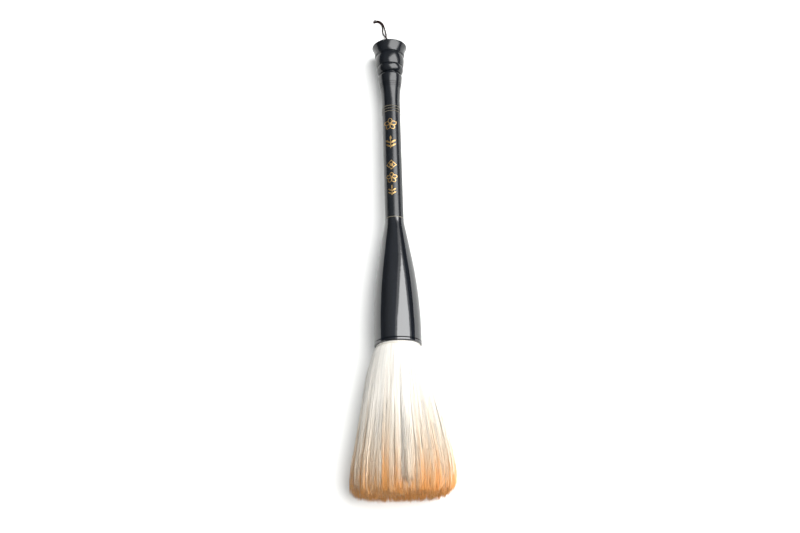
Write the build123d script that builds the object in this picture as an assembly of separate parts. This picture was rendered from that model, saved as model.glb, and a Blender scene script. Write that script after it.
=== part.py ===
from build123d import *
import math
import os

# Large calligraphy brush lying on a table, in millimetres.
# The brush axis runs along Y, tuft towards -Y and hanging cord towards +Y, and +Z is up.
# "along" is the distance from the mouth of the bell, positive towards the hanging end.
# Turned pieces are drawn with x as radius and y as along, revolved about Y and then laid down.

# ---- driving dimensions ----
TUFT_LENGTH = 118.6
BELL_LENGTH = 105.9
LOWER_RING_LENGTH = 0.6
SHAFT_LENGTH = 95.8
PALE_RING_LENGTH = 0.5
SPACER_LENGTH = 2.0
TAPER_LENGTH = 33.1
LOWER_BEAD_LENGTH = 6.7
UPPER_BEAD_LENGTH = 10.8
FLARE_LENGTH = 9.9

LIP_RADIUS = 18.5
SHAFT_RADIUS = 7.55
RIM_RADIUS = 14.7
RING_PROUD = 0.2

SOCKET_RADIUS = 17.0
SOCKET_DEPTH = 26.0
HAIR_ROOT_DEPTH = 20.0
HAIR_ROOT_RADIUS = 16.6
HAIR_OUT_OF_MOUTH = 2.0
BINDING_START = 11.8
BINDING_TURNS = 6
BINDING_PITCH = 1.15
THREAD_RADIUS = 0.5
BINDING_GAP = 0.05

DOWEL_RADIUS = 4.0
GLUE_GAP = 0.1
DOWEL_DEPTH_BELL = 34.0
DOWEL_DEPTH_SHAFT = 26.0

CORD_DIAMETER = 1.1
CORD_HOLE_RADIUS = 1.3
KNOT_CHAMBER_RADIUS = 3.6
KNOT_CHAMBER_DEPTH = 6.5
KNOT_RADIUS = 2.4
KNOT_LENGTH = 3.6

BEND_AT = 20.0
BEND_RANGE = 40.0
KNUCKLE_RADIUS = 17.4

ENGRAVING_DEPTH = 0.4
GOLD_BELOW_SURFACE = 0.04
ORNAMENT_TURN = -10.0
STROKE = 0.65

# ---- positions that follow from them ----
LOWER_JOINT = BELL_LENGTH
SHAFT_START = LOWER_JOINT + LOWER_RING_LENGTH
SHAFT_END = SHAFT_START + SHAFT_LENGTH
TAPER_START = SHAFT_END + 3 * PALE_RING_LENGTH + 2 * SPACER_LENGTH
LOWER_BEAD_START = TAPER_START + TAPER_LENGTH
UPPER_BEAD_START = LOWER_BEAD_START + LOWER_BEAD_LENGTH
FLARE_START = UPPER_BEAD_START + UPPER_BEAD_LENGTH
RIM = FLARE_START + FLARE_LENGTH

# The lip and the rim both touch the table, so the axis slopes down towards the hanging end.
LIP_CONTACT = 1.2
RIM_CONTACT = RIM - 0.7
SLOPE = math.degrees(math.atan((LIP_RADIUS - RIM_RADIUS) / (RIM_CONTACT - LIP_CONTACT)))
LEVEL = math.cos(math.radians(SLOPE))
DROP = math.tan(math.radians(SLOPE))
AXIS_HEIGHT_AT_MOUTH = LIP_RADIUS * LEVEL + LIP_CONTACT * math.sin(math.radians(SLOPE))
MOUTH_Y = (TUFT_LENGTH - RIM * LEVEL) / 2
LAID_DOWN = Location((0, MOUTH_Y, AXIS_HEIGHT_AT_MOUTH), (-SLOPE, 0, 0))

os.makedirs("parts", exist_ok=True)


def save(shape, node):
    """Write one sub-part as its own STEP file."""
    export_step(shape, f"parts/{node}.step")
    print(f"{node:20s} {shape.volume:12.2f} mm3")


def turned(outline):
    """Solid of revolution about the brush axis from an outline of joined edges."""
    return revolve(make_face(outline), Axis.Y)


def tube_blank(inner, outer, start, end):
    """Straight ring between two radii, from start to end along the axis."""
    corners = [(inner, start), (outer, start), (outer, end), (inner, end)]
    return turned(Polyline(*corners, close=True))


def rod(radius, start, end):
    """Solid cylinder on the brush axis."""
    return tube_blank(0, radius, start, end)


# ---- bell: S-shaped outside, groove and rounded lip at the mouth, socket for the hair ----
def make_bell():
    lip_end = 1.9
    groove_end = 2.8
    groove_depth = 0.7
    lip_corner = 0.5
    throat = LIP_RADIUS - groove_depth
    swell = [(LIP_RADIUS, 7.0), (18.35, 20.9), (17.2, 40.9), (15.0, 60.9), (11.75, 80.9), (8.75, 97.9)]
    small_end = (SHAFT_RADIUS + 0.1, BELL_LENGTH)
    outside = Spline(*swell, small_end, tangents=[(0, 1), (-0.05, 1)])
    front = Polyline(
        (0, 0),
        (LIP_RADIUS - lip_corner, 0),
        (LIP_RADIUS, lip_corner),
        (LIP_RADIUS, lip_end),
        (throat, (lip_end + groove_end) / 2),
        (LIP_RADIUS - 0.05, groove_end),
        swell[0],
    )
    back = Polyline(small_end, (0, BELL_LENGTH), (0, 0))
    body = turned(front + outside + back)
    body -= rod(SOCKET_RADIUS, -1, SOCKET_DEPTH)
    body -= rod(DOWEL_RADIUS, BELL_LENGTH - DOWEL_DEPTH_BELL, BELL_LENGTH + 1)
    return body


# ---- generic gold ornaments, drawn flat and engraved into the shaft ----
def petal_outline(length, width):
    return Ellipse(width / 2, length / 2) - Ellipse(width / 2 - STROKE, length / 2 - STROKE)


def blossom(size):
    """Five open petals round a small disc."""
    petal_length = 0.5 * size
    petal_width = 0.4 * size
    shape = Circle(0.11 * size)
    for turn in range(5):
        shape += Rot(0, 0, 72 * turn) * Pos(0, 0.28 * size) * petal_outline(petal_length, petal_width)
    return shape


def leaf(length, width):
    """Pointed leaf growing in +Y from the origin."""
    right = ThreePointArc((0, 0), (width / 2, length * 0.45), (0, length))
    left = ThreePointArc((0, length), (-width / 2, length * 0.45), (0, 0))
    return make_face(right + left)


def sprig(size):
    """Stem with two pairs of leaves and one at the top."""
    stem_length = 0.72 * size
    shape = Pos(0, -0.5 * size + stem_length / 2) * Rectangle(STROKE, stem_length)
    for step in range(2):
        height = -0.4 * size + 0.3 * size * step
        for side in (-1, 1):
            shape += Pos(0, height) * Rot(0, 0, side * 54) * leaf(0.46 * size, 0.13 * size)
    shape += Pos(0, 0.14 * size) * leaf(0.36 * size, 0.14 * size)
    return shape


def lozenge(size):
    """Square on its corner with a cross inside, as in a woven diaper pattern."""
    side = 0.66 * size
    frame = Rectangle(side, side) - Rectangle(side - 2 * STROKE, side - 2 * STROKE)
    cross = Rectangle(side - STROKE, STROKE) + Rectangle(STROKE, side - STROKE)
    middle = Rectangle(0.26 * size, 0.26 * size)
    return Rot(0, 0, 45) * (frame + cross + middle)


# kind, size and centre along the axis: two large ornaments, a gap, then three smaller ones
ORNAMENTS = [
    (blossom, 10.2, 189.9),
    (sprig, 11.6, 173.3),
    (lozenge, 9.4, 152.4),
    (blossom, 9.0, 140.7),
    (sprig, 9.2, 129.5),
]


def engraved(kind, size, centre):
    """Cutting tool and gold filling of one ornament on the upper side of the shaft."""
    flat = Plane.XY.offset(SHAFT_RADIUS / 2) * Pos(0, centre) * kind(size)
    column = Rot(0, ORNAMENT_TURN, 0) * extrude(flat, SHAFT_RADIUS)
    start = centre - size
    end = centre + size
    floor_radius = SHAFT_RADIUS - ENGRAVING_DEPTH
    tool = column & tube_blank(floor_radius, SHAFT_RADIUS + 1, start, end)
    gold = column & tube_blank(floor_radius, SHAFT_RADIUS - GOLD_BELOW_SURFACE, start, end)
    return tool, gold


# ---- shaft and rings ----
def make_shaft(tools):
    body = rod(SHAFT_RADIUS, SHAFT_START, SHAFT_END)
    body -= rod(DOWEL_RADIUS, SHAFT_START - 1, SHAFT_START + DOWEL_DEPTH_SHAFT)
    body -= rod(DOWEL_RADIUS, SHAFT_END - DOWEL_DEPTH_SHAFT, SHAFT_END + 1)
    for tool in tools:
        body -= tool
    return body


def washer(start, length, radius):
    """Ring on the dowel with a slightly rounded rim."""
    ring = tube_blank(DOWEL_RADIUS, radius, start, start + length)
    return chamfer(ring.edges().filter_by(GeomType.CIRCLE).group_by(SortBy.RADIUS)[-1], length * 0.15)


# ---- cap: taper with a shoulder, two beads, flared end ----
def make_cap_taper():
    neck_radius = 8.3
    shoulder = (10.0, 237.3)
    slim = [(SHAFT_RADIUS + 0.1, TAPER_START), (7.65, 212.9), (8.6, 227.3), shoulder]
    side = Spline(*slim, tangents=[(0, 1), (0.08, 1)])
    turn_in = ThreePointArc(shoulder, (9.75, 238.8), (neck_radius, 239.8))
    rest = Polyline(
        (neck_radius, 239.8),
        (neck_radius, LOWER_BEAD_START),
        (0, LOWER_BEAD_START),
        (0, TAPER_START),
        slim[0],
    )
    body = turned(side + turn_in + rest)
    line_depth = 0.2
    for line_at in (227.1, 228.7, 230.3):
        radius = 8.57 + (line_at - 227.1) * 0.13
        body -= tube_blank(radius - line_depth, radius + 2, line_at - 0.2, line_at + 0.2)
    return body - rod(DOWEL_RADIUS, TAPER_START - 1, LOWER_BEAD_START + 1)


def bead(start, length, edge_front, crown, edge_back):
    """Rounded ring: an arc from the front radius over the crown to the back radius."""
    middle = (crown, start + length * 0.55)
    side = ThreePointArc((edge_front, start), middle, (edge_back, start + length))
    rest = Polyline((edge_back, start + length), (0, start + length), (0, start), (edge_front, start))
    return turned(side + rest)


def make_cap_flare():
    waist = 11.7
    collar = 12.5
    rim_edge = RIM - 1.2
    dish_radius = 12.6
    dish_depth = 1.4
    flare = ThreePointArc((collar, FLARE_START + 0.7), (13.15, FLARE_START + 4.9), (RIM_RADIUS, rim_edge))
    front = Polyline((0, FLARE_START), (waist, FLARE_START), (collar, FLARE_START + 0.7))
    lip = ThreePointArc((RIM_RADIUS, rim_edge), (RIM_RADIUS - 0.3, RIM - 0.25), (RIM_RADIUS - 0.9, RIM))
    face_edge = Line((RIM_RADIUS - 0.9, RIM), (dish_radius, RIM))
    dish = ThreePointArc((dish_radius, RIM), (0.66 * dish_radius, RIM - 0.8 * dish_depth), (2.6, RIM - dish_depth))
    middle = Polyline((2.6, RIM - dish_depth), (0, RIM - dish_depth), (0, FLARE_START))
    body = turned(front + flare + lip + face_edge + dish + middle)
    return body - rod(CORD_HOLE_RADIUS, FLARE_START - 1, RIM + 1)


# ---- hair: root glued in the bell, cover and core that bend about the hinge ----
def make_hair_root():
    waist_radius = HAIR_ROOT_RADIUS - 2 * THREAD_RADIUS
    binding_end = BINDING_START + BINDING_TURNS * BINDING_PITCH + THREAD_RADIUS
    outline = Polyline(
        (0, -HAIR_OUT_OF_MOUTH),
        (LIP_RADIUS - 0.4, -HAIR_OUT_OF_MOUTH),
        (HAIR_ROOT_RADIUS, -0.4),
        (HAIR_ROOT_RADIUS, BINDING_START - 1),
        (waist_radius, BINDING_START),
        (waist_radius, binding_end),
        (HAIR_ROOT_RADIUS - 0.3, HAIR_ROOT_DEPTH),
        (0, HAIR_ROOT_DEPTH),
        close=True,
    )
    return turned(outline)


def make_binding():
    """Turns of thread drawn tight round the waist of the root, side by side, with a round crown on each."""
    inner = HAIR_ROOT_RADIUS - 2 * THREAD_RADIUS + BINDING_GAP
    valley = HAIR_ROOT_RADIUS - THREAD_RADIUS
    crown = HAIR_ROOT_RADIUS
    start = BINDING_START + THREAD_RADIUS / 2
    outside = Curve()
    for turn in range(BINDING_TURNS):
        low = start + turn * BINDING_PITCH
        high = low + BINDING_PITCH
        outside += ThreePointArc((valley, low), (crown, (low + high) / 2), (valley, high))
    end = start + BINDING_TURNS * BINDING_PITCH
    return turned(outside + Polyline((valley, end), (inner, end), (inner, start), (valley, start)))


def axis_height(forward):
    """Height of the brush axis at a distance forward of the mouth."""
    return AXIS_HEIGHT_AT_MOUTH + forward * DROP


def fan(sections):
    """Loft of ellipses across the tuft: distance forward of the mouth, half width, half height."""
    rings = []
    for forward, half_width, half_height in sections:
        plane = Plane((0, MOUTH_Y - forward, axis_height(forward)), x_dir=(1, 0, 0), z_dir=(0, -1, 0))
        rings.append(plane * Ellipse(half_width, half_height))
    return loft(rings)


def above(solid, height):
    """What is left of a solid above a level, as the table flattens the tuft's underside."""
    size = 300.0
    return solid & (Pos(0, 0, height + size / 2) * Box(size, 2 * size, size))


def make_tuft():
    hinge_y = MOUTH_Y - BEND_AT
    outer = fan([
        (HAIR_OUT_OF_MOUTH + 0.4, 18.4, 18.3),
        (BEND_AT, 23.9, 20.9),
        (44.0, 29.7, 23.6),
        (74.0, 36.6, 26.4),
        (97.0, 39.9, 27.4),
        (109.0, 37.6, 25.6),
        (TUFT_LENGTH, 27.0, 17.0),
    ])
    outer = above(outer, 0)
    forward_half = Pos(0, hinge_y - 150, 0) * Box(300, 300, 300)
    knuckle = Pos(0, hinge_y, 0) * Cylinder(KNUCKLE_RADIUS, 300)
    moving = (outer & forward_half) + (outer & knuckle)
    core_back = BEND_AT + 3.0
    core = fan([
        (core_back, 16.5, 13.5),
        (59.0, 23.0, 17.0),
        (94.0, 28.0, 18.6),
        (TUFT_LENGTH - 6.0, 24.0, 14.5),
    ])
    core = above(core, 3.0)
    return moving - core, core


# ---- hanging cord: a doubled loop, out of the cap, down to the table and folded tight at its end ----
CORD_ROUTE = [
    (-0.6, 183.3, 14.75),
    (-0.6, 188.3, 14.7),
    (-0.65, 194.4, 14.4),
    (-1.0, 199.0, 12.0),
    (-1.5, 203.0, 7.6),
    (-2.0, 206.8, 2.8),
    (-2.3, 211.2, 0.6),
    (-2.5, 215.4, 0.6),
    (-3.1, 219.6, 0.6),
    (-4.1, 223.8, 0.6),
    (-5.5, 227.5, 0.6),
    (-8.2, 229.6, 0.6),
    (-10.6, 230.1, 0.6),
    (-12.4, 230.4, 0.6),
    (-13.35, 229.15, 0.6),
    (-12.5, 227.85, 0.6),
    (-10.6, 228.6, 0.6),
    (-8.4, 228.2, 0.6),
    (-6.5, 226.2, 0.6),
    (-5.5, 223.2, 0.6),
    (-6.0, 219.6, 0.6),
    (-5.0, 215.6, 0.9),
    (-3.0, 211.6, 2.6),
    (-1.2, 207.6, 5.6),
    (-0.1, 203.6, 9.6),
    (0.4, 199.4, 12.8),
    (0.6, 194.4, 14.45),
    (0.6, 188.3, 14.7),
    (0.6, 183.3, 14.75),
]


def make_cord():
    points = [Vector(*p) for p in CORD_ROUTE]
    runs = [b - a for a, b in zip(points, points[1:])]
    radii = []
    for before, after in zip(runs, runs[1:]):
        turn = before.get_angle(after)
        shorter = min(before.length, after.length)
        radii.append(0.45 * shorter / math.tan(math.radians(turn / 2)))
    print("cord arc radii:", [round(r, 2) for r in radii])
    print("cord turns:", [round(a.get_angle(b), 1) for a, b in zip(runs, runs[1:])])
    print("cord runs:", [round(r.length, 2) for r in runs])
    path = FilletPolyline(*points, radius=radii)
    section = Plane(path @ 0, z_dir=path % 0) * Circle(CORD_DIAMETER / 2)
    cord = sweep(section, path)
    expected = path.length * math.pi * CORD_DIAMETER**2 / 4
    print(f"cord length {path.length:.2f} mm, volume {cord.volume:.2f}, section x length {expected:.2f}")
    return cord


def make_knot():
    """Round knot of three coils, with flat faces where the two cord ends enter it."""
    knot_face = FLARE_START - 0.15
    start = knot_face - KNOT_LENGTH
    coil = KNOT_LENGTH / 6
    middle = rod(KNOT_RADIUS - coil, start, knot_face)
    for step in range(3):
        centre = start + coil * (2 * step + 1)
        middle += revolve(Pos(KNOT_RADIUS - coil, centre) * Circle(coil * 0.98), Axis.Y)
    return middle


# ---- build and write every sub-part ----
save(LAID_DOWN * make_bell(), "ferrule_bell")
save(LAID_DOWN * washer(LOWER_JOINT, LOWER_RING_LENGTH, SHAFT_RADIUS + RING_PROUD), "lower_ring")

ornament_tools = []
for number, (kind, size, centre) in enumerate(ORNAMENTS, start=1):
    tool, gold = engraved(kind, size, centre)
    ornament_tools.append(tool)
    save(LAID_DOWN * gold, f"gold_ornament_{number}")
save(LAID_DOWN * make_shaft(ornament_tools), "shaft")

place = SHAFT_END
for number in (1, 2, 3):
    save(LAID_DOWN * washer(place, PALE_RING_LENGTH, SHAFT_RADIUS + RING_PROUD), f"upper_ring_{number}")
    place += PALE_RING_LENGTH
    if number < 3:
        save(LAID_DOWN * washer(place, SPACER_LENGTH, SHAFT_RADIUS + 0.1), f"upper_spacer_{number}")
        place += SPACER_LENGTH

save(LAID_DOWN * make_cap_taper(), "cap_taper")
lower_bead = bead(LOWER_BEAD_START, LOWER_BEAD_LENGTH, 9.2, 11.1, 10.9)
lower_bead -= rod(DOWEL_RADIUS, LOWER_BEAD_START - 1, UPPER_BEAD_START + 1)
save(LAID_DOWN * lower_bead, "cap_bead_lower")
upper_bead = bead(UPPER_BEAD_START, UPPER_BEAD_LENGTH, 11.2, 12.2, 11.7)
chamber_start = FLARE_START - KNOT_CHAMBER_DEPTH
upper_bead -= rod(DOWEL_RADIUS, UPPER_BEAD_START - 1, chamber_start - 1.5)
upper_bead -= rod(KNOT_CHAMBER_RADIUS, chamber_start, FLARE_START + 1)
save(LAID_DOWN * upper_bead, "cap_bead_upper")
save(LAID_DOWN * make_cap_flare(), "cap_flare")

dowel = DOWEL_RADIUS - GLUE_GAP
ferrule_dowel = rod(dowel, LOWER_JOINT - DOWEL_DEPTH_BELL + 1, SHAFT_START + DOWEL_DEPTH_SHAFT - 1)
save(LAID_DOWN * ferrule_dowel, "ferrule_dowel")
save(LAID_DOWN * rod(dowel, SHAFT_END - DOWEL_DEPTH_SHAFT + 1, chamber_start - 2), "cap_dowel")

save(LAID_DOWN * make_hair_root(), "hair_root")
save(LAID_DOWN * make_binding(), "root_binding")
save(LAID_DOWN * rod(SOCKET_RADIUS - GLUE_GAP, HAIR_ROOT_DEPTH, SOCKET_DEPTH), "root_resin")

hair_cover, hair_core = make_tuft()
save(hair_cover, "hair_cover")
save(hair_core, "hair_core")

save(make_cord(), "cord_loop")
save(LAID_DOWN * make_knot(), "cord_knot")

print(f"axis slope {SLOPE:.3f} deg, mouth at y {MOUTH_Y:.3f}, axis height there {AXIS_HEIGHT_AT_MOUTH:.3f}")
print(f"hinge at y {MOUTH_Y - BEND_AT:.3f}, bending {BEND_RANGE:.0f} deg each way")
print(f"rim at y {MOUTH_Y + RIM * LEVEL:.3f}, axis height there {AXIS_HEIGHT_AT_MOUTH - RIM * DROP:.3f}")
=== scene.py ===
"""Large calligraphy brush: horn bell and cap, lacquered grip, gold ornaments, fanned goat hair and hanging cord."""

import math

import bpy
import numpy as np
from bpy.props import FloatProperty, FloatVectorProperty, IntProperty, PointerProperty
from mathutils import Matrix, Vector


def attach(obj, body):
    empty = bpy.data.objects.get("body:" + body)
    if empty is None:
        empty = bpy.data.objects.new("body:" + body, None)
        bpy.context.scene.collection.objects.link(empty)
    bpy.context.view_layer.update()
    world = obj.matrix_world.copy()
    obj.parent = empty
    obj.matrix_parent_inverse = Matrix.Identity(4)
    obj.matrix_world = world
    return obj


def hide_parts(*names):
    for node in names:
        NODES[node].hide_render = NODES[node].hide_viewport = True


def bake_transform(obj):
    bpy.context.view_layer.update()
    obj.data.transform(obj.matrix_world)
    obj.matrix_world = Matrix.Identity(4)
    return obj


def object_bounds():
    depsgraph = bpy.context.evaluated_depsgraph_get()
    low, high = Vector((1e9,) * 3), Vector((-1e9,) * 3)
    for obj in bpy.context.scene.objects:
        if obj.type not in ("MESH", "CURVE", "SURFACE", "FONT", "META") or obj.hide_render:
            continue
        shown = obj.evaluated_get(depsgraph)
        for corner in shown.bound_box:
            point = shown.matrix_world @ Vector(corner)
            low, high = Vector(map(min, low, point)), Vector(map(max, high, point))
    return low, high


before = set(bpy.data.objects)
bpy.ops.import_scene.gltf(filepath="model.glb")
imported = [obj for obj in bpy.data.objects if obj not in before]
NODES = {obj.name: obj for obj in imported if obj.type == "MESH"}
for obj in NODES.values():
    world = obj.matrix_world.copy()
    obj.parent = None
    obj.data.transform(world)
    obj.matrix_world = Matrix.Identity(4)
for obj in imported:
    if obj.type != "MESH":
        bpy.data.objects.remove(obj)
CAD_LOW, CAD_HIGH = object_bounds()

bl_info = {
    "name": "Calligraphy Brush",
    "version": (1, 0, 0),
    "blender": (4, 5, 0),
    "location": "3D View > Sidebar > Brush",
    "description": "Builds the finishes, the hair and the cord of a large calligraphy brush",
    "category": "Add Mesh",
}

MM = 0.001

# The brush lies on the table with its axis a little lower at the hanging end.
MOUTH = Vector((0.0, -74.836, 18.515)) * MM  # centre of the bell's mouth
AXIS_SLOPE = math.radians(0.817)

# Outside of the fanned hair: distance forward of the mouth, half width on the left, half width on the right and half
# height, in mm. The first two rows are inside the bell's socket.
FAN = [
    (-14.0, 15.6, 15.6, 15.6),
    (-1.0, 16.3, 16.3, 16.3),
    (2.4, 18.2, 18.1, 18.0),
    (19.0, 24.0, 23.4, 20.8),
    (44.0, 28.8, 29.7, 23.6),
    (74.0, 33.8, 36.4, 26.2),
    (93.0, 37.0, 39.2, 26.6),
    (105.0, 37.8, 39.2, 25.0),
    (118.0, 36.8, 36.4, 20.5),
]
REACH = 116.0  # mm of hair over which the colour and the locks develop

# Rings along a hair, as shares of its length: close together where it leaves the socket and at its point.
LONG_RINGS = (0.0, 0.07, 0.13, 0.27, 0.43, 0.60, 0.76, 0.89, 0.975, 1.0)
SHORT_RINGS = (0.0, 0.35, 0.70, 0.93, 1.0)

# The end of the fan, in mm: how far its sides fall back, what its corners lose, and how much more the right one loses.
SIDE_FALL, CORNER_CUT, CORNER_SKEW = 1.5, 6.0, 2.5
SKIN_FROM, SKIN_SHORTER = 0.7, 3.0  # hairs beyond this share of the fan end earlier, by this many mm per share

# How single hairs differ. Lengths are in mm, and sideways moves are shares of the fan's half size.
LENGTH_SPREAD, SHORT_SPREAD = 1.2, 1.8
BROKEN_SHARE, BROKEN_OFF = 0.05, (4.0, 22.0)
TRIM = (-0.5, 1.2)  # where the longest hairs are cut, either side of the tuft's length
SWING, SWING_TURNS = 0.015, (5.5, 4.5)
STRAY_SHARE, STRAY_FAR, STRAY_NEAR = 0.10, 0.06, 0.018
LIFT_SPREAD, FARTHEST_OUT = 0.008, 1.03
BED = (0.25, 0.9)  # height of the lowest hairs' centres above the table
WIDTH_SPREAD, POINT_THINNING = (0.75, 1.25), 0.45
DYE_SPREAD, DYE_SLANT = 0.035, 0.02
# The last value is painted light: it makes the golden ends paler on the right, where the window lights them.
TONE_SPREAD, RIGHT_PAINTED_LIGHT = (0.86, 1.0), 0.12

# The hanging cord: out of the cap's hole, down to the table, round its tight end and back.
CORD_ROUTE = [
    (-0.6, 183.3, 14.75), (-0.6, 188.3, 14.7), (-0.65, 194.4, 14.4), (-1.0, 199.0, 12.0),
    (-1.5, 203.0, 7.6), (-2.0, 206.8, 2.8), (-2.3, 211.2, 0.6), (-2.5, 215.4, 0.6),
    (-3.1, 219.6, 0.6), (-4.1, 223.8, 0.6), (-5.5, 227.5, 0.6), (-8.2, 229.6, 0.6),
    (-10.6, 230.1, 0.6), (-12.4, 230.4, 0.6), (-13.35, 229.15, 0.6), (-12.5, 228.05, 0.6),
    (-10.6, 229.0, 0.6), (-8.5, 228.5, 0.6), (-6.35, 226.5, 0.6), (-5.1, 223.2, 0.6),
    (-5.6, 219.6, 0.6), (-5.0, 215.6, 0.9), (-3.0, 211.6, 2.6), (-1.2, 207.6, 5.6),
    (-0.1, 203.6, 9.6), (0.4, 199.4, 12.8), (0.6, 194.4, 14.45), (0.6, 188.3, 14.7),
    (0.6, 183.3, 14.75),
]


def linear(code):
    """An sRGB hex colour as linear red, green and blue."""
    parts = [int(code[i : i + 2], 16) / 255 for i in (1, 3, 5)]
    return [c / 12.92 if c <= 0.04045 else ((c + 0.055) / 1.055) ** 2.4 for c in parts]


def opaque(colour):
    """A linear colour with full alpha, as a shader socket takes it."""
    return (*colour, 1.0)


def add_node(tree, kind, sockets=None, **settings):
    """Add a shader node, set its properties, and fill its sockets with values or links."""
    made = tree.nodes.new(kind)
    for name, value in settings.items():
        setattr(made, name, value)
    for name, value in (sockets or {}).items():
        if isinstance(value, bpy.types.NodeSocket):
            tree.links.new(value, made.inputs[name])
        else:
            made.inputs[name].default_value = value
    return made


def new_finish(name):
    """An empty node material and its tree, with the output joined to a Principled shader."""
    material = bpy.data.materials.new(name)
    material.use_nodes = True
    tree = material.node_tree
    tree.nodes.clear()
    shader = tree.nodes.new("ShaderNodeBsdfPrincipled")
    output = tree.nodes.new("ShaderNodeOutputMaterial")
    tree.links.new(shader.outputs["BSDF"], output.inputs["Surface"])
    return material, tree, shader


def object_place(tree):
    """Places on the piece in metres, as a pattern's input."""
    return add_node(tree, "ShaderNodeTexCoord").outputs["Object"]


def drawn_out(tree, place, share):
    """The same places with the pattern drawn out along the brush, to 1 / share of its length."""
    return add_node(tree, "ShaderNodeMapping", {"Vector": place, "Scale": (1.0, share, 1.0)}).outputs["Vector"]


def noise(tree, place, scale, **more):
    """A noise pattern's value, with its scale in features per metre."""
    return add_node(tree, "ShaderNodeTexNoise", {"Vector": place, "Scale": scale, **more}).outputs["Fac"]


def slanting_bands(tree, place, scale, distortion):
    """A pattern of slanting bands. They lie 0.63 / scale metres apart along an axis."""
    sockets = {"Vector": place, "Scale": scale, "Distortion": distortion}
    return add_node(tree, "ShaderNodeTexWave", sockets, bands_direction="DIAGONAL").outputs["Fac"]


def tint_by(tree, shader, pattern, low, high):
    """Let a pattern blend the base colour from one linear colour to another."""
    sockets = {"Factor": pattern, "A": opaque(low), "B": opaque(high)}
    blend = add_node(tree, "ShaderNodeMix", sockets, data_type="RGBA")
    tree.links.new(blend.outputs["Result"], shader.inputs["Base Color"])


def gloss_by(tree, shader, pattern, low, high):
    """Let a pattern vary the roughness between two values."""
    level = add_node(tree, "ShaderNodeMapRange", {"Value": pattern, "To Min": low, "To Max": high})
    tree.links.new(level.outputs["Result"], shader.inputs["Roughness"])


def bump_by(tree, shader, pattern, strength, height):
    """Let a pattern stand up from the surface, by up to height metres."""
    bump = add_node(tree, "ShaderNodeBump", {"Height": pattern, "Strength": strength, "Distance": height})
    tree.links.new(bump.outputs["Normal"], shader.inputs["Normal"])


def dress(material, *names):
    """Give CAD nodes a finish through their own material slots."""
    for name in names:
        for place in NODES[name].material_slots:
            place.material = material


def add_piece(name, mesh, material):
    """Link a finished mesh or curve as a piece with its material."""
    piece = bpy.data.objects.new(name, mesh)
    bpy.context.scene.collection.objects.link(piece)
    mesh.materials.append(material)
    return piece


# ---- sizes and colours that a user would change ----
def colour_choice(name, description, code):
    """A colour property that starts at an sRGB hex colour."""
    return FloatVectorProperty(name=name, description=description, subtype="COLOR", default=linear(code))


def size_choice(name, description, size):
    """A length property that starts at a size in mm."""
    return FloatProperty(name=name, description=description, default=size * MM, unit="LENGTH")


class CordSettings(bpy.types.PropertyGroup):
    diameter: size_choice("Diameter", "Thickness of the hanging cord", 1.1)
    length: size_choice("Length", "Length from the cap's bore round and back into it", 115.1)
    colour: colour_choice("Cord colour", "Waxed cord", "#2A1414")


class HandleSettings(bpy.types.PropertyGroup):
    horn: colour_choice("Horn", "Body colour of the buffalo horn", "#070A10")
    horn_streak: colour_choice("Horn streaks", "Paler fibres in the horn", "#12161E")
    lacquer: colour_choice("Lacquer", "Black lacquer of the grip", "#0D1015")
    bone: colour_choice("Ring", "Bone-coloured inlay rings", "#77705F")
    gold: colour_choice("Gold", "Gold leaf of the ornaments", "#DDBB80")


class TuftSettings(bpy.types.PropertyGroup):
    shell_hairs: IntProperty(
        name="Outer hairs", description="Long hairs near the outside of the fan", default=12000, min=100
    )
    inner_hairs: IntProperty(
        name="Inner hairs", description="Short hairs that fill the end of the fan", default=4800, min=100
    )
    hair_width: size_choice(
        "Hair width", "Goat hair is 0.05 to 0.1 mm; drawn coarser, so that single hairs show", 0.33
    )
    length: size_choice("Length", "Hair out of the bell's mouth at the middle", 116.3)
    seed: IntProperty(name="Seed", description="Seed of the hair's random draws", default=7)


class StageSettings(bpy.types.PropertyGroup):
    light: FloatProperty(
        name="Window strength", description="Brightness of the large light against a white sheet", default=5.4
    )
    surround: FloatProperty(
        name="Surround strength", description="Brightness of the wall round the window", default=0.9
    )
    overhead: FloatProperty(name="Ceiling strength", description="Brightness of the room overhead", default=0.42)
    horizon: FloatProperty(name="Wall strength", description="Brightness of the room at table level", default=0.12)
    glow: FloatProperty(
        name="Table glow", description="Light that comes up through the white table top", default=0.17
    )
    floor: colour_choice("Table", "Matt white table top", "#E8E8E6")


# ---- camera ----
class BRUSH_OT_camera(bpy.types.Operator):
    """Place the camera above the tuft, looking down along the brush"""

    bl_idname = "brush.camera"
    bl_label = "Camera"

    def execute(self, context):
        eye = Vector((-4.767, -285.5, 779.5)) * MM
        tilt, pan = math.radians(19.95), math.radians(-1.67)
        bpy.ops.object.camera_add(location=eye, rotation=(tilt, 0.0, pan))
        camera = context.object
        camera.name = "camera"
        camera.data.sensor_width = 36.0
        camera.data.lens = 45.9
        camera.data.clip_start = 0.01
        camera.data.dof.use_dof = False
        context.scene.camera = camera
        return {"FINISHED"}


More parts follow.
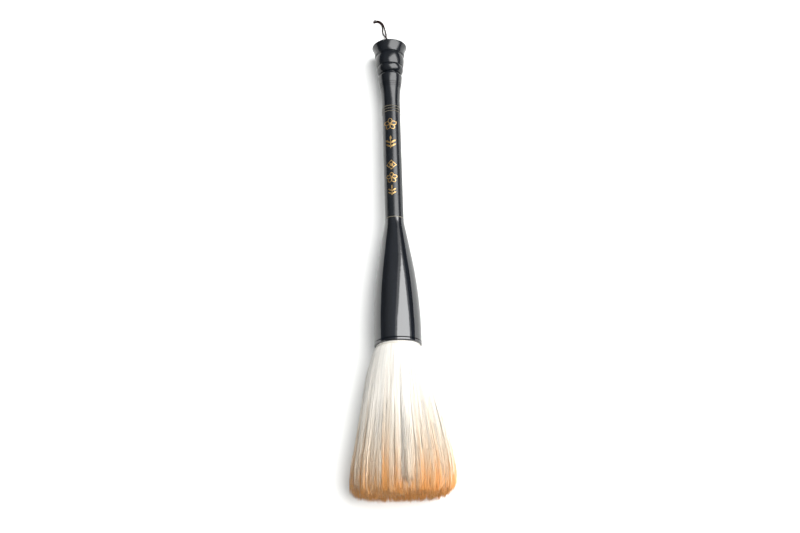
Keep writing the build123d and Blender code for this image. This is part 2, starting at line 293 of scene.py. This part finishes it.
# ---- cord ----
class BRUSH_OT_cord(bpy.types.Operator):
    """Lay the thin doubled cord from the cap's hole onto the table"""

    bl_idname = "brush.cord"
    bl_label = "Hanging cord"

    def execute(self, context):
        sizes = context.scene.brush_cord
        # Waxed twisted cotton: nearly black reddish brown, a dull waxy sheen, slanting strands 2.4 mm apart.
        material, tree, shader = new_finish("waxed_cord")
        twist = slanting_bands(tree, object_place(tree), 260.0, 1.2)
        tint_by(tree, shader, twist, linear("#0C0606"), sizes.colour)
        bump_by(tree, shader, twist, 0.3, 0.1 * MM)
        shader.inputs["Roughness"].default_value = 0.65
        shader.inputs["Specular IOR Level"].default_value = 0.12

        curve = bpy.data.curves.new("hanging_cord", "CURVE")
        curve.dimensions = "3D"
        spline = curve.splines.new("NURBS")
        spline.points.add(len(CORD_ROUTE) - 1)
        for point, place in zip(spline.points, CORD_ROUTE):
            point.co = (*(Vector(place) * MM), 1.0)
        spline.order_u = 3
        spline.use_endpoint_u = True
        spline.resolution_u = 8
        curve.bevel_depth = sizes.diameter / 2
        curve.bevel_resolution = 3
        curve.use_fill_caps = True
        cord = add_piece("hanging_cord", curve, material)
        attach(cord, "handle")
        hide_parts("cord_loop")
        dress(material, "cord_knot")
        return {"FINISHED"}


# ---- handle ----
class BRUSH_OT_horn(bpy.types.Operator):
    """Polish the horn bell and cap pieces"""

    bl_idname = "brush.horn"
    bl_label = "Horn bell and cap"

    def execute(self, context):
        colours = context.scene.brush_handle
        # Black buffalo horn, turned: near-black with faint fibres along the length. The bell is buffed to a wet-looking
        # gloss, the cap's beads and taper to a softer satin.
        cap_pieces = ["cap_taper", "cap_bead_lower", "cap_bead_upper", "cap_flare", "upper_spacer_1", "upper_spacer_2"]
        finishes = [
            ("polished_buffalo_horn", (0.05, 0.13), 0.85, ["ferrule_bell"]),
            ("satin_buffalo_horn", (0.15, 0.25), 0.50, cap_pieces),
        ]
        for name, roughness, gleam, pieces in finishes:
            material, tree, shader = new_finish(name)
            place = object_place(tree)
            # Fibres 0.5 mm wide and some 30 mm long.
            along = drawn_out(tree, place, 0.016)
            fibre = noise(tree, along, 2000.0, Detail=3.0, Roughness=0.6)
            cloud = noise(tree, along, 160.0, Detail=2.0)
            both = add_node(tree, "ShaderNodeMath", {0: fibre, 1: cloud}, operation="MULTIPLY").outputs["Value"]
            share = add_node(tree, "ShaderNodeMapRange", {"Value": both, "From Min": 0.22, "From Max": 0.42})
            tint_by(tree, shader, share.outputs["Result"], colours.horn, colours.horn_streak)
            # Buffing marks vary the gloss over 8 mm or so.
            gloss_by(tree, shader, noise(tree, place, 120.0, Detail=4.0), *roughness)
            bump_by(tree, shader, fibre, 0.05, 0.05 * MM)
            shader.inputs["IOR"].default_value = 1.54
            shader.inputs["Specular IOR Level"].default_value = gleam
            dress(material, *pieces)
        return {"FINISHED"}


class BRUSH_OT_grip(bpy.types.Operator):
    """Finish the lacquered grip, its inlay rings and the gold ornaments"""

    bl_idname = "brush.grip"
    bl_label = "Grip, rings and ornaments"

    def execute(self, context):
        colours = context.scene.brush_handle
        # Lacquer over dense wood: deep black gloss, rubbed a little duller by the hand, pores just showing through.
        material, tree, shader = new_finish("black_lacquer_over_wood")
        place = object_place(tree)
        # Pores 0.3 mm wide and 8 mm long.
        pores = noise(tree, drawn_out(tree, place, 0.04), 3000.0, Detail=2.0)
        tint_by(tree, shader, pores, colours.lacquer, linear("#161A1E"))
        gloss_by(tree, shader, noise(tree, place, 90.0, Detail=5.0), 0.12, 0.26)
        bump_by(tree, shader, pores, 0.12, 0.05 * MM)
        dress(material, "shaft")

        # Bone inlay: grey-brown with age, fine grained, a low polish.
        material, tree, shader = new_finish("polished_bone")
        grain = noise(tree, object_place(tree), 1200.0, Detail=3.0)
        tint_by(tree, shader, grain, linear("#4C473B"), colours.bone)
        shader.inputs["Roughness"].default_value = 0.32
        dress(material, "lower_ring", "upper_ring_1", "upper_ring_2", "upper_ring_3")

        # Gold leaf pressed into the cut strokes: warm metal, slightly wrinkled, thin places darker.
        material, tree, shader = new_finish("pressed_gold_leaf")
        wrinkle = noise(tree, object_place(tree), 1800.0, Detail=4.0)
        tint_by(tree, shader, wrinkle, linear("#7D5A2C"), colours.gold)
        bump_by(tree, shader, wrinkle, 0.6, 0.1 * MM)
        shader.inputs["Metallic"].default_value = 1.0
        shader.inputs["Roughness"].default_value = 0.42
        dress(material, *[name for name in NODES if name.startswith("gold_ornament")])
        return {"FINISHED"}


class BRUSH_OT_inside(bpy.types.Operator):
    """Finish the dowels, the bound hair root and the resin inside the brush"""

    bl_idname = "brush.inside"
    bl_label = "Inner pieces"

    def execute(self, context):
        # Beech dowel: pale brown with flecks along the length.
        material, tree, shader = new_finish("beech_dowel")
        fleck = noise(tree, drawn_out(tree, object_place(tree), 0.08), 1500.0, Detail=3.0)
        tint_by(tree, shader, fleck, linear("#8A5F3A"), linear("#D0A577"))
        shader.inputs["Roughness"].default_value = 0.6
        dress(material, "ferrule_dowel", "cap_dowel")

        # Flax thread: straw-coloured fibres with a waxy hand.
        material, tree, shader = new_finish("flax_thread")
        ply = slanting_bands(tree, object_place(tree), 350.0, 2.0)
        tint_by(tree, shader, ply, linear("#A18C62"), linear("#DCCFA9"))
        shader.inputs["Roughness"].default_value = 0.7
        dress(material, "root_binding")

        # Setting resin: dark amber, glassy where it has run.
        material, tree, shader = new_finish("amber_resin")
        cloud = noise(tree, object_place(tree), 220.0, Detail=3.0)
        tint_by(tree, shader, cloud, linear("#5A3210"), linear("#A5692B"))
        shader.inputs["Roughness"].default_value = 0.15
        dress(material, "root_resin")

        # The bound end of the hair: packed white fibres, seen only from inside the mouth.
        material, tree, shader = new_finish("packed_goat_hair")
        fibre = noise(tree, drawn_out(tree, object_place(tree), 0.03), 2600.0, Detail=3.0)
        tint_by(tree, shader, fibre, linear("#C9C1B2"), linear("#F5F1E8"))
        bump_by(tree, shader, fibre, 0.8, 0.2 * MM)
        shader.inputs["Roughness"].default_value = 0.7
        dress(material, "hair_root")
        return {"FINISHED"}


# ---- tuft ----
def through(value, places, sizes):
    """Smooth curve through listed sizes, by cubic pieces."""
    places, sizes = np.array(places, float), np.array(sizes, float)
    lean = np.gradient(sizes, places)
    i = np.clip(np.searchsorted(places, value) - 1, 0, len(places) - 2)
    gap = places[i + 1] - places[i]
    t = np.clip((value - places[i]) / gap, 0, 1)
    return (
        (2 * t**3 - 3 * t**2 + 1) * sizes[i]
        + (t**3 - 2 * t**2 + t) * gap * lean[i]
        + (3 * t**2 - 2 * t**3) * sizes[i + 1]
        + (t**3 - t**2) * gap * lean[i + 1]
    )


def ease(value, low, high):
    """0 below low, 1 above high, and a smooth rise between them."""
    t = np.clip((value - low) / (high - low), 0, 1)
    return t * t * (3 - 2 * t)


def in_fan(forward, across, upward, rest=0.35):
    """Points of the fan in metres: forward in mm, across and upward as shares of the half sizes.

    The underside lies flat on the table, its hairs' centres at rest mm."""
    rows = list(zip(*FAN))
    left, right = through(forward, rows[0], rows[1]), through(forward, rows[0], rows[2])
    x = across * (left + right + (right - left) * across) / 2
    up = upward * through(forward, rows[0], rows[3])
    y = -forward * math.cos(AXIS_SLOPE) + up * math.sin(AXIS_SLOPE)
    z = MOUTH.z / MM + forward * math.sin(AXIS_SLOPE) + up * math.cos(AXIS_SLOPE)
    softness = 2.4  # mm over which the hair turns from hanging free to lying on the table
    hanging, surplus = 6.0, 0.12  # mm above rest where the hair hangs free, and what the soft turn has added there
    above = z - rest
    laid = rest + 0.5 * (above + np.sqrt(above**2 + softness**2)) - surplus * (above > hanging)
    return np.stack([x, y + MOUTH.y / MM, np.where(forward > 0, laid, z)], -1) * MM


# The hairs are made in mesh code: no modelling tool lays thousands of separate hairs along computed lines.
def hair_mesh(name, paths, widths, turns, attributes):
    """Three-sided hairs that run to a point, as one mesh. Each has its own cell in the texture map."""
    count, rings, _ = paths.shape
    body = rings - 1
    corner = turns[:, None] + np.arange(3) * (2 * math.pi / 3)
    ring = np.stack([np.cos(corner), 0 * corner, np.sin(corner)], -1)
    sides = paths[:, :-1, None] + 0.5 * widths[:, :-1, None, None] * ring[:, None]
    points = np.concatenate([sides.reshape(count, -1, 3), paths[:, -1:]], 1)
    each = points.shape[1]

    columns, rows = 256, math.ceil(count / 256)
    loops, uvs, sizes = [0, 1, 2], [(0.1, 0.0), (0.5, 0.0), (0.9, 0.0)], [3]
    for r in range(body - 1):
        low, high = r / body, (r + 1) / body
        for s in range(3):
            n = (s + 1) % 3
            loops += [3 * r + s, 3 * r + 3 + s, 3 * r + 3 + n, 3 * r + n]
            uvs += [(s / 3, low), (s / 3, high), ((s + 1) / 3, high), ((s + 1) / 3, low)]
            sizes.append(4)
    for s in range(3):
        loops += [3 * (body - 1) + s, each - 1, 3 * (body - 1) + (s + 1) % 3]
        uvs += [(s / 3, (body - 1) / body), ((s + 0.5) / 3, 1.0), ((s + 1) / 3, (body - 1) / body)]
        sizes.append(3)
    hair = np.arange(count)
    corners = (np.array(loops)[None] + hair[:, None] * each).ravel()
    cell = np.stack([hair % columns, hair // columns], -1)[:, None]
    maps = (cell + 0.06 + 0.88 * np.array(uvs)[None]) / (columns, rows)
    lengths = np.tile(sizes, count)

    mesh = bpy.data.meshes.new(name)
    mesh.vertices.add(count * each)
    mesh.vertices.foreach_set("co", points.astype(np.float32).ravel())
    mesh.loops.add(len(corners))
    mesh.loops.foreach_set("vertex_index", corners.astype(np.int32))
    mesh.polygons.add(len(lengths))
    mesh.polygons.foreach_set("loop_start", np.concatenate([[0], np.cumsum(lengths)[:-1]]).astype(np.int32))
    layer = mesh.uv_layers.new(name="OFBake")
    layer.data.foreach_set("uv", maps.astype(np.float32).ravel())
    for label, values in attributes.items():
        spread = np.concatenate([np.repeat(values[:, :-1], 3, axis=1), values[:, -1:]], 1)
        mesh.attributes.new(label, "FLOAT", "POINT").data.foreach_set("value", spread.astype(np.float32).ravel())
    mesh.polygons.foreach_set("use_smooth", np.ones(len(lengths), bool))
    mesh.update(calc_edges=True)
    mesh.validate()
    return mesh


def goat_hair_finish():
    """The hair's material: colour by how far along the hair a point is, with each hair's own shift and tone. The tone
    also carries painted shade and painted light.
    """
    # Goat hair: white and silky at the root, golden towards the ends, a soft low sheen.
    material, tree, shader = new_finish("soft_goat_hair")
    dye = add_node(tree, "ShaderNodeAttribute", attribute_name="dye")
    ramp = add_node(tree, "ShaderNodeValToRGB", {"Fac": dye.outputs["Fac"]})
    stops = [
        (0.0, "#F8F5EE"), (0.40, "#F6F0E6"), (0.56, "#F4EADB"), (0.68, "#F3E2CC"),
        (0.78, "#F0D6B8"), (0.87, "#ECC294"), (0.94, "#F6BC7C"), (1.0, "#F4AD60"),
    ]
    for place, code in stops[1:-1]:
        ramp.color_ramp.elements.new(place)
    for element, (place, code) in zip(ramp.color_ramp.elements, stops):
        element.position = place
        element.color = opaque(linear(code))
    tone = add_node(tree, "ShaderNodeAttribute", attribute_name="tone")
    scaled = {0: ramp.outputs["Color"], "Scale": tone.outputs["Fac"]}
    shade = add_node(tree, "ShaderNodeVectorMath", scaled, operation="SCALE")
    tree.links.new(shade.outputs["Vector"], shader.inputs["Base Color"])
    shader.inputs["Roughness"].default_value = 0.5
    shader.inputs["IOR"].default_value = 1.45
    return material


def lock_centres(draw, count, inner):
    """Places in the unit disc where hair gathers, mostly near its edge."""
    turn = draw.uniform(0, 2 * math.pi, count)
    out = np.sqrt(draw.uniform(inner**2, 1.0, count))
    return np.stack([out * np.cos(turn), out * np.sin(turn)], -1)


def nearest(points, centres):
    """The number of the nearest centre to each point."""
    return np.argmin(((points[:, None] - centres[None]) ** 2).sum(-1), 1)


def grow(draw, count, inner, root, rings, settings, locks, wisps):
    """Hair centrelines, widths and colour attributes for count hairs that start root mm forward of the mouth."""
    start = lock_centres(draw, count, inner)
    wisp = nearest(start, wisps["place"])
    lock = wisps["lock"][wisp]

    # Hairs on the outside of the fan end earlier than those in the middle, so that the end is rounded, most of all at
    # its right corner. A few are broken short, and the longest are trimmed level.
    edge = np.abs(start[:, 0])
    out = np.hypot(*start.T)
    tip = settings.length / MM
    corner = (CORNER_CUT + CORNER_SKEW * np.sign(start[:, 0])) * edge**12
    end = tip - SIDE_FALL * edge**3 - corner - SKIN_SHORTER * np.maximum(out - SKIN_FROM, 0)
    end = (
        end + locks["length"][lock] + wisps["length"][wisp]
        + draw.normal(0, LENGTH_SPREAD, count) - draw.exponential(SHORT_SPREAD, count)
    )
    end = np.where(draw.random(count) < BROKEN_SHARE, end - draw.uniform(*BROKEN_OFF, count), end)
    end = np.minimum(end, tip + draw.uniform(*TRIM, count))

    share = np.array(rings)[None]
    forward = root + (end[:, None] - root) * share
    travel = np.clip(forward / REACH, 0, None)

    # The hairs in the middle of the end aren't drawn into the outer locks.
    gather = ease(travel, 0.12, 0.85) * ease(out, 0.3, 0.6)[:, None]
    to_wisp = wisps["place"][wisp] - start
    to_lock = locks["place"][lock] - wisps["place"][wisp]
    place = start[:, None] + to_wisp[:, None] * (gather * wisps["pull"][wisp][:, None])[..., None]
    place = place + to_lock[:, None] * (gather * locks["pull"][lock][:, None])[..., None]
    place = place + (locks["drift"][lock] + wisps["drift"][wisp])[:, None] * (travel**2)[..., None]
    # Each hair wanders a little on its own and a few leave their lock.
    phase = draw.uniform(0, 2 * math.pi, (count, 1))
    swing = draw.normal(0, SWING, (count, 1)) * travel
    across, upward = SWING_TURNS
    sway = [swing * np.sin(across * travel + phase), swing * np.cos(upward * travel + phase)]
    place = place + np.stack(sway, -1)
    far = draw.random(count) < STRAY_SHARE
    stray = np.where(far, draw.normal(0, STRAY_FAR, count), draw.normal(0, STRAY_NEAR, count))
    place[..., 0] += stray[:, None] * travel**2
    # Standing locks lie a little above their neighbours.
    lift = 1 + (locks["lift"][lock] + draw.normal(0, LIFT_SPREAD, count))[:, None] * ease(travel, 0.2, 0.9)
    place = place * lift[..., None]
    radius = np.maximum(np.hypot(place[..., 0], place[..., 1]), 1e-6)
    place = place * (np.minimum(radius, FARTHEST_OUT) / radius)[..., None]

    rest = draw.uniform(*BED, (count, 1))
    paths = in_fan(forward, place[..., 0], place[..., 1], rest)
    taper = 1 - POINT_THINNING * ease(share, 0.4, 1.0)
    widths = settings.hair_width * draw.uniform(*WIDTH_SPREAD, (count, 1)) * taper
    turns = draw.uniform(0, 2 * math.pi, count)
    shift = locks["dye"][lock] + wisps["dye"][wisp] + draw.normal(0, DYE_SPREAD, count)
    dye = travel + DYE_SLANT * start[:, :1] + shift[:, None]
    # Painted shade: the shaded wisps are darkened from a quarter of the way along the hair.
    dark = wisps["dark"][wisp][:, None] * ease(travel, 0.25, 0.6)
    tone = (wisps["tone"][wisp] * draw.uniform(*TONE_SPREAD, count))[:, None] * (1 - dark)
    # The golden ends are painted lighter on the right: painted light, where the window on that side falls on them.
    tone = np.minimum(tone * (1 + RIGHT_PAINTED_LIGHT * start[:, :1] * ease(travel, 0.7, 1.0)), 1)
    return paths, widths, turns, {"dye": np.clip(dye, 0, 1), "tone": tone}


class BRUSH_OT_tuft_core(bpy.types.Operator):
    """Model the dense inner mass of the tuft"""

    bl_idname = "brush.tuft_core"
    bl_label = "Inner hair mass"

    def execute(self, context):
        draw = np.random.default_rng(context.scene.brush_tuft.seed + 1)
        material = goat_hair_finish()
        around, rings, insets = 240, 44, 5
        blank_radius = 0.9
        bpy.ops.object.select_all(action="DESELECT")
        bpy.ops.mesh.primitive_circle_add(vertices=around, radius=blank_radius, fill_type="NGON")
        core = context.object
        core.name = core.data.name = "tuft_core"
        bpy.ops.object.mode_set(mode="EDIT")
        bpy.ops.mesh.select_mode(type="FACE")
        bpy.ops.mesh.select_all(action="SELECT")
        for _ in range(rings):
            bpy.ops.mesh.extrude_region_move(TRANSFORM_OT_translate={"value": (0, 0, 1 / rings)})
        for _ in range(insets):
            bpy.ops.mesh.inset(thickness=0.15, depth=0.0)
        bpy.ops.object.mode_set(mode="OBJECT")

        # Wrap the blank to the fan: its height becomes distance forward, its round section the fan's section.
        mesh = core.data
        co = np.empty(len(mesh.vertices) * 3)
        mesh.vertices.foreach_get("co", co)
        co = co.reshape(-1, 3)
        out = np.hypot(co[:, 0], co[:, 1])
        turn = np.arctan2(co[:, 1], co[:, 0])
        back, front = -10.0, 104.0
        forward = back + (front - back) * co[:, 2]
        travel = np.clip(forward / REACH, 0, 1)
        # Ridges that run along the hair: how many go round, their height as a share, and where they start.
        waves = [(23, 0.012, 0.4), (41, 0.014, 2.1), (67, 0.010, 4.0)]
        ridges = sum(size * np.sin(n * turn + shift + 2 * travel) for n, size, shift in waves)
        shrink = 0.99 + ridges * ease(travel, 0.1, 0.7)
        rounded = forward - 9.0 * ease(out / blank_radius, 0.4, 1.0) * ease(forward, 80.0, front)
        points = in_fan(rounded, co[:, 0] * shrink, co[:, 1] * shrink, 0.8)
        mesh.vertices.foreach_set("co", points.astype(np.float32).ravel())
        dye = np.clip(travel + 0.03 * np.sin(31 * turn) + draw.normal(0, 0.01, len(travel)), 0, 1)
        # Painted shade: the inner mass is a little darker than the hairs over it, as shade deep between the hairs.
        tone = np.full(len(dye), 0.88)
        for label, values in {"dye": dye, "tone": tone}.items():
            mesh.attributes.new(label, "FLOAT", "POINT").data.foreach_set("value", values.astype(np.float32))
        mesh.materials.append(material)
        bpy.ops.object.mode_set(mode="EDIT")
        bpy.ops.mesh.select_all(action="SELECT")
        bpy.ops.mesh.normals_make_consistent(inside=False)
        bpy.ops.object.mode_set(mode="OBJECT")
        bpy.ops.object.shade_smooth()
        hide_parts("hair_core")
        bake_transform(core)
        return {"FINISHED"}


class BRUSH_OT_tuft_hair(bpy.types.Operator):
    """Grow the goat hair of the tuft in locks and wisps"""

    bl_idname = "brush.tuft_hair"
    bl_label = "Goat hair"

    def execute(self, context):
        settings = context.scene.brush_tuft
        draw = np.random.default_rng(settings.seed)
        material = bpy.data.materials["soft_goat_hair"]
        lock_count, wisp_count = 210, 1700
        locks = {
            "place": lock_centres(draw, lock_count, 0.55),
            "pull": draw.uniform(0.0, 0.12, lock_count),
            "drift": draw.normal(0, 0.010, (lock_count, 2)),
            "length": draw.normal(0, 0.3, lock_count),
            "lift": draw.normal(-0.01, 0.014, lock_count),
            "dye": draw.normal(0, 0.035, lock_count),
        }
        wisps = {"place": lock_centres(draw, wisp_count, 0.3)}
        wisps["lock"] = nearest(wisps["place"], locks["place"])
        # Some wisps stay white, end early and run to a point over the dyed ones.
        white = draw.random(wisp_count) < 0.33
        wisps["pull"] = np.where(white, draw.uniform(0.65, 0.9, wisp_count), draw.uniform(0.2, 0.6, wisp_count))
        wisps["length"] = np.where(white, draw.uniform(-10, -2, wisp_count), draw.normal(0, 0.4, wisp_count))
        wisps["dye"] = np.where(white, draw.uniform(-0.18, -0.08, wisp_count), draw.normal(0.015, 0.03, wisp_count))
        wisps["drift"] = np.stack([draw.normal(0, 0.026, wisp_count), draw.normal(0, 0.006, wisp_count)], -1)
        wisps["tone"] = draw.uniform(0.88, 1.0, wisp_count)
        # A few are painted darker along their outer part: painted shade for wisps that lie in the shade between their
        # neighbours.
        wisps["dark"] = np.where(draw.random(wisp_count) < 0.1, draw.uniform(0.15, 0.4, wisp_count), 0)

        # Outer hairs fill the rim of the fan from inside the socket. Inner hairs fill all of its end.
        outer_share, outer_root = 0.84, -8.0
        inner_share, inner_root = 0.0, 84.0
        pieces = 5
        for number in range(pieces):
            count = settings.shell_hairs // pieces
            made = grow(draw, count, outer_share, outer_root, LONG_RINGS, settings, locks, wisps)
            name = f"tuft_hair_{number + 1}"
            hair = add_piece(name, hair_mesh(name, *made), material)
            if number == 0:
                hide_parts("hair_cover")
            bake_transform(hair)
        made = grow(draw, settings.inner_hairs, inner_share, inner_root, SHORT_RINGS, settings, locks, wisps)
        hair = add_piece("tuft_end_hair", hair_mesh("tuft_end_hair", *made), material)
        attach(hair, "tuft")
        return {"FINISHED"}


# ---- stage ----
class BRUSH_OT_stage(bpy.types.Operator):
    """Set the white table, the large window light and the dim room"""

    bl_idname = "brush.stage"
    bl_label = "Stage and light"

    def execute(self, context):
        settings = context.scene.brush_stage
        context.scene.view_settings.view_transform = "Standard"
        context.scene.view_settings.look = "None"

        # Matt white table top.
        material, _, shader = new_finish("white_table")
        shader.inputs["Base Color"].default_value = opaque(settings.floor)
        shader.inputs["Roughness"].default_value = 0.9
        shader.inputs["Specular IOR Level"].default_value = 0.2
        shader.inputs["Emission Color"].default_value = opaque(settings.floor)
        shader.inputs["Emission Strength"].default_value = settings.glow
        bpy.ops.object.select_all(action="DESELECT")
        table_size = 16.0
        bpy.ops.mesh.primitive_plane_add(size=table_size, location=(0, 0, CAD_LOW.z))
        floor = context.object
        floor.name = "table_top"
        floor.data.materials.append(material)

        # Pale wall far round the table, seen by the camera only, so that the gloss still mirrors the dim room.
        material, _, shader = new_finish("pale_backdrop")
        shader.inputs["Base Color"].default_value = opaque(linear("#000000"))
        shader.inputs["Emission Color"].default_value = opaque(settings.floor)
        shader.inputs["Emission Strength"].default_value = 1.0
        bpy.ops.object.select_all(action="DESELECT")
        radius, height, middle_height = 7.6, 12.0, 5.9
        bpy.ops.mesh.primitive_cylinder_add(
            vertices=96, radius=radius, depth=height, end_fill_type="NOTHING", location=(0, 0, middle_height)
        )
        wall = context.object
        wall.name = "backdrop_wall"
        wall.data.materials.append(material)
        wall.visible_diffuse = wall.visible_glossy = wall.visible_transmission = wall.visible_shadow = False

        # One large window-like source from overhead to low on the right, turned a little about its own middle. Its
        # four edges are slopes seen from the brush, with the source square on to a line 32 degrees from vertical.
        lean, turn, distance = math.radians(32.0), math.radians(28.0), 4.5
        left, right, near, far = -0.52, 0.61, -0.44, 0.655
        middle = ((left + right) / 2, (near + far) / 2)
        across = middle[0] * math.cos(turn) - middle[1] * math.sin(turn)
        along = middle[0] * math.sin(turn) + middle[1] * math.cos(turn)
        aim = Matrix.Rotation(lean, 4, "Y")
        # The surround is larger than the window and stands a little behind it.
        sources = (
            ("window_light", 1.0, 1.0, settings.light),
            ("window_surround", 1.4, 1.02, settings.surround),
        )
        for name, grown, behind, strength in sources:
            wide, deep = (right - left) * distance * grown, (far - near) * distance * grown
            bpy.ops.object.light_add(type="AREA")
            light = context.object
            light.name = name
            reach = distance * behind
            place = aim @ Vector((across * distance, along * distance, reach))
            light.matrix_world = Matrix.Translation(place) @ aim @ Matrix.Rotation(turn, 4, "Z")
            light.data.shape = "RECTANGLE"
            light.data.size, light.data.size_y = wide, deep
            light.data.energy = strength * math.pi * wide * deep
            light.visible_camera = False

        # The room: brighter overhead than at table level.
        world = bpy.data.worlds.new("room")
        context.scene.world = world
        world.use_nodes = True
        tree = world.node_tree
        tree.nodes.clear()
        where = add_node(tree, "ShaderNodeTexCoord")
        split = add_node(tree, "ShaderNodeSeparateXYZ", {"Vector": where.outputs["Generated"]})
        rise = {
            "Value": split.outputs["Z"], "From Min": 0.25, "From Max": 0.95,
            "To Min": settings.horizon, "To Max": settings.overhead,
        }
        level = add_node(tree, "ShaderNodeMapRange", rise, interpolation_type="SMOOTHSTEP")
        sky = {"Color": (0.93, 0.97, 1.0, 1.0), "Strength": level.outputs["Result"]}
        glow = add_node(tree, "ShaderNodeBackground", sky)
        add_node(tree, "ShaderNodeOutputWorld", {"Surface": glow.outputs["Background"]})
        return {"FINISHED"}


class BRUSH_PT_panel(bpy.types.Panel):
    """Sizes, colours and steps of the calligraphy brush"""

    bl_label = "Calligraphy brush"
    bl_idname = "BRUSH_PT_panel"
    bl_space_type = "VIEW_3D"
    bl_region_type = "UI"
    bl_category = "Brush"

    def draw(self, context):
        for step in STEPS:
            self.layout.operator(step.bl_idname)
        for name in SETTINGS:
            group = getattr(context.scene, name)
            for key in group.__annotations__:
                self.layout.prop(group, key)


STEPS = [
    BRUSH_OT_camera, BRUSH_OT_cord, BRUSH_OT_horn, BRUSH_OT_grip, BRUSH_OT_inside, BRUSH_OT_tuft_core,
    BRUSH_OT_tuft_hair, BRUSH_OT_stage,
]
SETTINGS = {
    "brush_cord": CordSettings, "brush_handle": HandleSettings, "brush_tuft": TuftSettings, "brush_stage": StageSettings
}
CLASSES = [*SETTINGS.values(), *STEPS, BRUSH_PT_panel]


def register():
    for entry in CLASSES:
        bpy.utils.register_class(entry)
    for name, group in SETTINGS.items():
        setattr(bpy.types.Scene, name, PointerProperty(type=group))


def unregister():
    for name in SETTINGS:
        delattr(bpy.types.Scene, name)
    for entry in reversed(CLASSES):
        bpy.utils.unregister_class(entry)


def main():
    register()
    bpy.ops.brush.camera()
    bpy.ops.brush.cord()
    bpy.ops.brush.horn()
    bpy.ops.brush.grip()
    bpy.ops.brush.inside()
    bpy.ops.brush.tuft_core()
    bpy.ops.brush.tuft_hair()
    bpy.ops.brush.stage()


if __name__ == "__main__":
    main()
